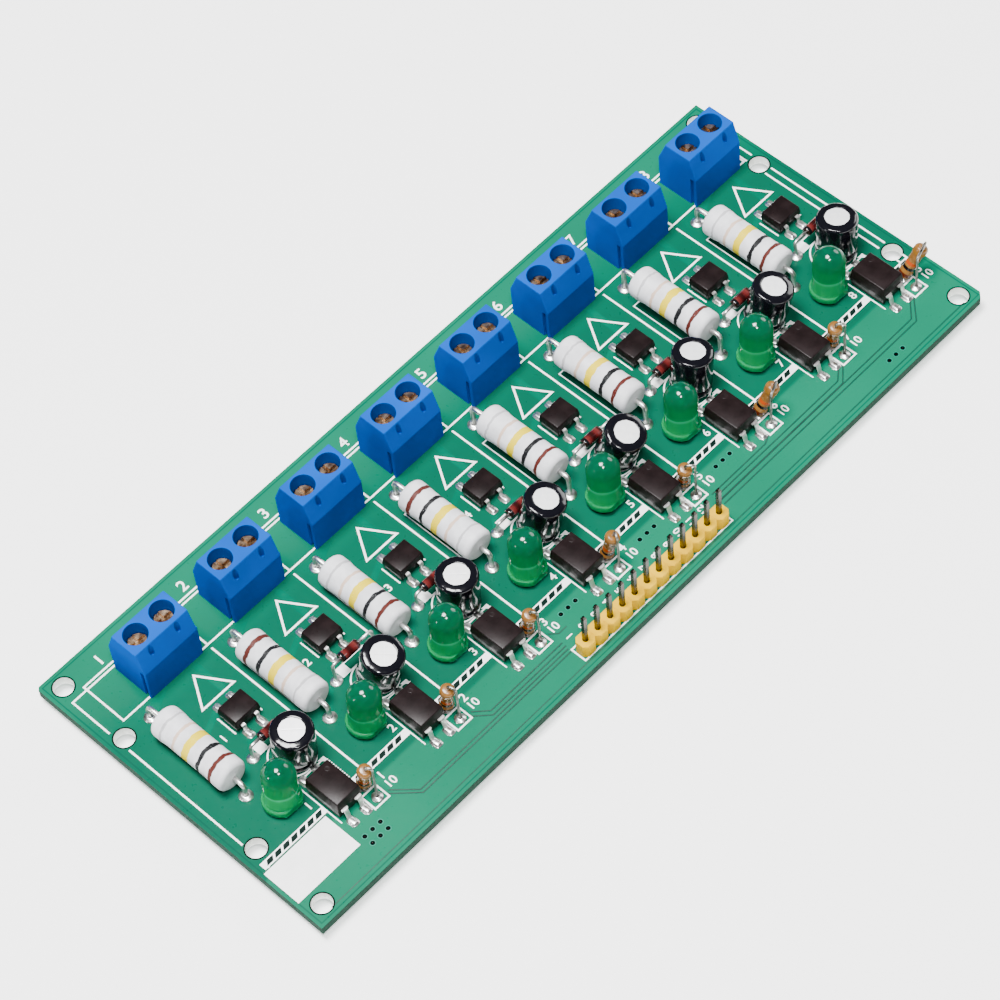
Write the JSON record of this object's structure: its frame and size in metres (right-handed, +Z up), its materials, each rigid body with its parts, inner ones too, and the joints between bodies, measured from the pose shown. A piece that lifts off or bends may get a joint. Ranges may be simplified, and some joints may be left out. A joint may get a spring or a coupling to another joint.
{
  "type": "optocoupler isolation board",
  "caption": "Long circuit board that isolates mains-side signals: rows of screw terminals, dropper resistors, rectifiers, lamps and optocouplers, with a pin header for the logic side.",
  "frame": {"origin": "under the middle of the board, at the tips of the soldered pins it stands on", "axes": "+X along the board, +Y from the pin header side to the screw terminal side, +Z up from the soldered side to the component side"},
  "size_m": [0.1386, 0.0566, 0.0131],
  "materials": {
    "board_mask": "green solder mask, satin",
    "housing_plastic": "smooth moulded",
    "screw_steel": "yellowish plated",
    "clamp_brass": "plated brass",
    "contact_metal": "tinned brass",
    "resistor_ceramic": "cement coat, matt",
    "tinned_wire": "tinned",
    "moulding_black": "moulded epoxy, matt",
    "diode_glass": "orange glass, glossy",
    "can_aluminium": "drawn, satin",
    "sleeve_film": "shrunk film, glossy",
    "lens_resin": "diffused green resin",
    "resistor_enamel": "enamel",
    "header_plastic": "moulded",
    "pin_metal": "dark plated",
    "solder": "bright solder"
  },
  "bodies": {
    "board": {"circuit_board": "board_mask", "terminal_housing_1": "housing_plastic", "terminal_housing_2": "housing_plastic", "terminal_housing_3": "housing_plastic", "terminal_housing_4": "housing_plastic", "terminal_housing_5": "housing_plastic", "terminal_housing_6": "housing_plastic", "terminal_housing_7": "housing_plastic", "terminal_housing_8": "housing_plastic", "terminal_contacts": "contact_metal", "dropper_resistors": "resistor_ceramic", "dropper_leads": "tinned_wire", "bridge_rectifiers": "moulding_black", "bridge_leads": "tinned_wire", "diodes": "diode_glass", "diode_leads": "tinned_wire", "capacitor_cans": "can_aluminium", "capacitor_sleeves": "sleeve_film", "capacitor_leads": "tinned_wire", "lamp_lenses": "lens_resin", "lamp_leads": "tinned_wire", "optocouplers": "moulding_black", "optocoupler_leads": "tinned_wire", "pullup_resistors": "resistor_enamel", "pullup_leads": "tinned_wire", "header_strip": "header_plastic", "header_pins": "pin_metal", "solder_joints": "solder"},
    "screw_1a": {"terminal_screw_1a": "screw_steel"},
    "clamp_1a": {"terminal_clamp_1a": "clamp_brass"},
    "screw_1b": {"terminal_screw_1b": "screw_steel"},
    "clamp_1b": {"terminal_clamp_1b": "clamp_brass"},
    "screw_2a": {"terminal_screw_2a": "screw_steel"},
    "clamp_2a": {"terminal_clamp_2a": "clamp_brass"},
    "screw_2b": {"terminal_screw_2b": "screw_steel"},
    "clamp_2b": {"terminal_clamp_2b": "clamp_brass"},
    "screw_3a": {"terminal_screw_3a": "screw_steel"},
    "clamp_3a": {"terminal_clamp_3a": "clamp_brass"},
    "screw_3b": {"terminal_screw_3b": "screw_steel"},
    "clamp_3b": {"terminal_clamp_3b": "clamp_brass"},
    "screw_4a": {"terminal_screw_4a": "screw_steel"},
    "clamp_4a": {"terminal_clamp_4a": "clamp_brass"},
    "screw_4b": {"terminal_screw_4b": "screw_steel"},
    "clamp_4b": {"terminal_clamp_4b": "clamp_brass"},
    "screw_5a": {"terminal_screw_5a": "screw_steel"},
    "clamp_5a": {"terminal_clamp_5a": "clamp_brass"},
    "screw_5b": {"terminal_screw_5b": "screw_steel"},
    "clamp_5b": {"terminal_clamp_5b": "clamp_brass"},
    "screw_6a": {"terminal_screw_6a": "screw_steel"},
    "clamp_6a": {"terminal_clamp_6a": "clamp_brass"},
    "screw_6b": {"terminal_screw_6b": "screw_steel"},
    "clamp_6b": {"terminal_clamp_6b": "clamp_brass"},
    "screw_7a": {"terminal_screw_7a": "screw_steel"},
    "clamp_7a": {"terminal_clamp_7a": "clamp_brass"},
    "screw_7b": {"terminal_screw_7b": "screw_steel"},
    "clamp_7b": {"terminal_clamp_7b": "clamp_brass"},
    "screw_8a": {"terminal_screw_8a": "screw_steel"},
    "clamp_8a": {"terminal_clamp_8a": "clamp_brass"},
    "screw_8b": {"terminal_screw_8b": "screw_steel"},
    "clamp_8b": {"terminal_clamp_8b": "clamp_brass"}
  },
  "joints": [
    {"name": "screw_1a_turn", "type": "hinge", "parent": "board", "child": "screw_1a", "pos_m": [-0.05725, 0.0186, 0.0098], "axis": [0, 0, -1], "range_deg": [0, 1296]},
    {"name": "clamp_1a_lift", "type": "slide", "parent": "board", "child": "clamp_1a", "axis": [0, 0, 1], "range_m": [0, 0.0018]},
    {"name": "screw_1b_turn", "type": "hinge", "parent": "board", "child": "screw_1b", "pos_m": [-0.05225, 0.0186, 0.0098], "axis": [0, 0, -1], "range_deg": [0, 1296]},
    {"name": "clamp_1b_lift", "type": "slide", "parent": "board", "child": "clamp_1b", "axis": [0, 0, 1], "range_m": [0, 0.0018]},
    {"name": "screw_2a_turn", "type": "hinge", "parent": "board", "child": "screw_2a", "pos_m": [-0.04095, 0.0186, 0.0098], "axis": [0, 0, -1], "range_deg": [0, 1296]},
    {"name": "clamp_2a_lift", "type": "slide", "parent": "board", "child": "clamp_2a", "axis": [0, 0, 1], "range_m": [0, 0.0018]},
    {"name": "screw_2b_turn", "type": "hinge", "parent": "board", "child": "screw_2b", "pos_m": [-0.03595, 0.0186, 0.0098], "axis": [0, 0, -1], "range_deg": [0, 1296]},
    {"name": "clamp_2b_lift", "type": "slide", "parent": "board", "child": "clamp_2b", "axis": [0, 0, 1], "range_m": [0, 0.0018]},
    {"name": "screw_3a_turn", "type": "hinge", "parent": "board", "child": "screw_3a", "pos_m": [-0.02465, 0.0186, 0.0098], "axis": [0, 0, -1], "range_deg": [0, 1296]},
    {"name": "clamp_3a_lift", "type": "slide", "parent": "board", "child": "clamp_3a", "axis": [0, 0, 1], "range_m": [0, 0.0018]},
    {"name": "screw_3b_turn", "type": "hinge", "parent": "board", "child": "screw_3b", "pos_m": [-0.01965, 0.0186, 0.0098], "axis": [0, 0, -1], "range_deg": [0, 1296]},
    {"name": "clamp_3b_lift", "type": "slide", "parent": "board", "child": "clamp_3b", "axis": [0, 0, 1], "range_m": [0, 0.0018]},
    {"name": "screw_4a_turn", "type": "hinge", "parent": "board", "child": "screw_4a", "pos_m": [-0.00835, 0.0186, 0.0098], "axis": [0, 0, -1], "range_deg": [0, 1296]},
    {"name": "clamp_4a_lift", "type": "slide", "parent": "board", "child": "clamp_4a", "axis": [0, 0, 1], "range_m": [0, 0.0018]},
    {"name": "screw_4b_turn", "type": "hinge", "parent": "board", "child": "screw_4b", "pos_m": [-0.00335, 0.0186, 0.0098], "axis": [0, 0, -1], "range_deg": [0, 1296]},
    {"name": "clamp_4b_lift", "type": "slide", "parent": "board", "child": "clamp_4b", "axis": [0, 0, 1], "range_m": [0, 0.0018]},
    {"name": "screw_5a_turn", "type": "hinge", "parent": "board", "child": "screw_5a", "pos_m": [0.00795, 0.0186, 0.0098], "axis": [0, 0, -1], "range_deg": [0, 1296]},
    {"name": "clamp_5a_lift", "type": "slide", "parent": "board", "child": "clamp_5a", "axis": [0, 0, 1], "range_m": [0, 0.0018]},
    {"name": "screw_5b_turn", "type": "hinge", "parent": "board", "child": "screw_5b", "pos_m": [0.01295, 0.0186, 0.0098], "axis": [0, 0, -1], "range_deg": [0, 1296]},
    {"name": "clamp_5b_lift", "type": "slide", "parent": "board", "child": "clamp_5b", "axis": [0, 0, 1], "range_m": [0, 0.0018]},
    {"name": "screw_6a_turn", "type": "hinge", "parent": "board", "child": "screw_6a", "pos_m": [0.02425, 0.0186, 0.0098], "axis": [0, 0, -1], "range_deg": [0, 1296]},
    {"name": "clamp_6a_lift", "type": "slide", "parent": "board", "child": "clamp_6a", "axis": [0, 0, 1], "range_m": [0, 0.0018]},
    {"name": "screw_6b_turn", "type": "hinge", "parent": "board", "child": "screw_6b", "pos_m": [0.02925, 0.0186, 0.0098], "axis": [0, 0, -1], "range_deg": [0, 1296]},
    {"name": "clamp_6b_lift", "type": "slide", "parent": "board", "child": "clamp_6b", "axis": [0, 0, 1], "range_m": [0, 0.0018]},
    {"name": "screw_7a_turn", "type": "hinge", "parent": "board", "child": "screw_7a", "pos_m": [0.04055, 0.0186, 0.0098], "axis": [0, 0, -1], "range_deg": [0, 1296]},
    {"name": "clamp_7a_lift", "type": "slide", "parent": "board", "child": "clamp_7a", "axis": [0, 0, 1], "range_m": [0, 0.0018]},
    {"name": "screw_7b_turn", "type": "hinge", "parent": "board", "child": "screw_7b", "pos_m": [0.04555, 0.0186, 0.0098], "axis": [0, 0, -1], "range_deg": [0, 1296]},
    {"name": "clamp_7b_lift", "type": "slide", "parent": "board", "child": "clamp_7b", "axis": [0, 0, 1], "range_m": [0, 0.0018]},
    {"name": "screw_8a_turn", "type": "hinge", "parent": "board", "child": "screw_8a", "pos_m": [0.05685, 0.0186, 0.0098], "axis": [0, 0, -1], "range_deg": [0, 1296]},
    {"name": "clamp_8a_lift", "type": "slide", "parent": "board", "child": "clamp_8a", "axis": [0, 0, 1], "range_m": [0, 0.0018]},
    {"name": "screw_8b_turn", "type": "hinge", "parent": "board", "child": "screw_8b", "pos_m": [0.06185, 0.0186, 0.0098], "axis": [0, 0, -1], "range_deg": [0, 1296]},
    {"name": "clamp_8b_lift", "type": "slide", "parent": "board", "child": "clamp_8b", "axis": [0, 0, 1], "range_m": [0, 0.0018]}
  ],
  "couplings": [
    {"joint": "screw_1a_turn", "follows": "clamp_1a_lift", "rad_per_m": 12566},
    {"joint": "screw_1b_turn", "follows": "clamp_1b_lift", "rad_per_m": 12566},
    {"joint": "screw_2a_turn", "follows": "clamp_2a_lift", "rad_per_m": 12566},
    {"joint": "screw_2b_turn", "follows": "clamp_2b_lift", "rad_per_m": 12566},
    {"joint": "screw_3a_turn", "follows": "clamp_3a_lift", "rad_per_m": 12566},
    {"joint": "screw_3b_turn", "follows": "clamp_3b_lift", "rad_per_m": 12566},
    {"joint": "screw_4a_turn", "follows": "clamp_4a_lift", "rad_per_m": 12566},
    {"joint": "screw_4b_turn", "follows": "clamp_4b_lift", "rad_per_m": 12566},
    {"joint": "screw_5a_turn", "follows": "clamp_5a_lift", "rad_per_m": 12566},
    {"joint": "screw_5b_turn", "follows": "clamp_5b_lift", "rad_per_m": 12566},
    {"joint": "screw_6a_turn", "follows": "clamp_6a_lift", "rad_per_m": 12566},
    {"joint": "screw_6b_turn", "follows": "clamp_6b_lift", "rad_per_m": 12566},
    {"joint": "screw_7a_turn", "follows": "clamp_7a_lift", "rad_per_m": 12566},
    {"joint": "screw_7b_turn", "follows": "clamp_7b_lift", "rad_per_m": 12566},
    {"joint": "screw_8a_turn", "follows": "clamp_8a_lift", "rad_per_m": 12566},
    {"joint": "screw_8b_turn", "follows": "clamp_8b_lift", "rad_per_m": 12566}
  ]
}
